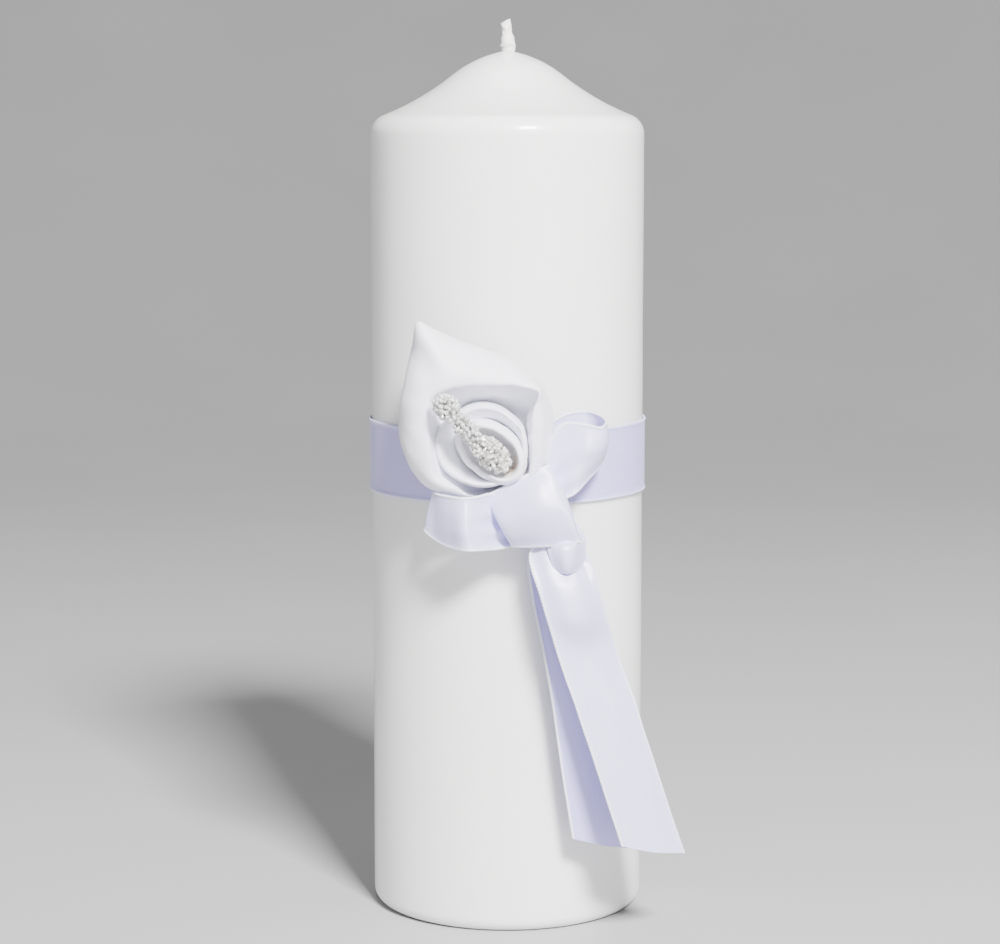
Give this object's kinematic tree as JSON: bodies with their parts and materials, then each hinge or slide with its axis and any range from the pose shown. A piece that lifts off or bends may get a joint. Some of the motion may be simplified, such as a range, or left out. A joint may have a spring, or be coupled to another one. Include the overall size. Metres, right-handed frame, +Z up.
{
  "type": "unity candle",
  "caption": "White domed pillar candle with a waxed cotton wick, a lift-off satin ribbon band, a bow with two hanging tails, and a satin calla flower with a beaded spadix.",
  "frame": {"origin": "centre of the flat base, on the candle's axis", "axes": "+Z up along the candle's axis to the wick; the bow and the flower face -Y; the flower's tip leans to -X and the tails to +X"},
  "size_m": [0.0843, 0.0981, 0.2397],
  "materials": {
    "wax_coat": "smooth white overdip wax, satin gloss, translucent",
    "wax_core": "soft paraffin",
    "wick": "braided cotton primed with wax",
    "clip": "tinned sheet",
    "ribbon": "single-face satin with woven selvages",
    "petal": "soft stiffened satin",
    "bead": "clear glass seed beads",
    "wire": "fine bright wire",
    "stem_wire": "green painted florist's wire",
    "floral_tape": "crinkled waxed paper tape",
    "tape": "double-sided tape",
    "glue": "hot-melt glue"
  },
  "bodies": {
    "candle": {"overdip_coat": "wax_coat", "wax_core": "wax_core", "wick_core": "wick", "wick_clip": "clip"},
    "wick_end": {"wick_tip": "wick"},
    "wrap": {"ribbon_band": "ribbon", "lap_tape": "tape", "knot_core": "ribbon", "binding_wire": "wire", "glue_band": "glue", "glue_flower": "glue", "bow_loop_right": "ribbon", "bow_loop_left": "ribbon", "knot_wrap": "ribbon", "knot_tuck": "ribbon", "tail_root_front": "ribbon", "tail_root_rear": "ribbon", "calla_spathe": "petal", "petal_middle": "petal", "petal_inner": "petal", "stem_wire": "stem_wire", "stem_tape": "floral_tape", "spadix_wire": "wire", "bead_clump_tip": "bead", "bead_clump_middle": "bead", "bead_clump_base": "bead"},
    "front_tail": {"tail_front": "ribbon"},
    "rear_tail": {"tail_rear": "ribbon"}
  },
  "joints": [
    {"name": "wrap_lift", "type": "slide", "parent": "candle", "child": "wrap", "axis": [0, 0, 1], "range_m": [-0.015, 0.13]},
    {"name": "front_tail_lift", "type": "hinge", "parent": "wrap", "child": "front_tail", "pos_m": [0.0149, -0.0457, 0.0965], "axis": [-0.7858, -0.524, -0.3287], "range_deg": [0, 75]},
    {"name": "rear_tail_lift", "type": "hinge", "parent": "wrap", "child": "rear_tail", "pos_m": [0.0137, -0.0388, 0.0965], "axis": [-0.7998, -0.5644, -0.2045], "range_deg": [0, 64]},
    {"name": "wick_bend", "type": "hinge", "parent": "candle", "child": "wick_end", "pos_m": [0, 0, 0.2323], "axis": [0, 1, 0], "range_deg": [-45, 55]}
  ],
  "couplings": [
    {"joint": "rear_tail_lift", "follows": "front_tail_lift", "ratio": 0.85}
  ]
}
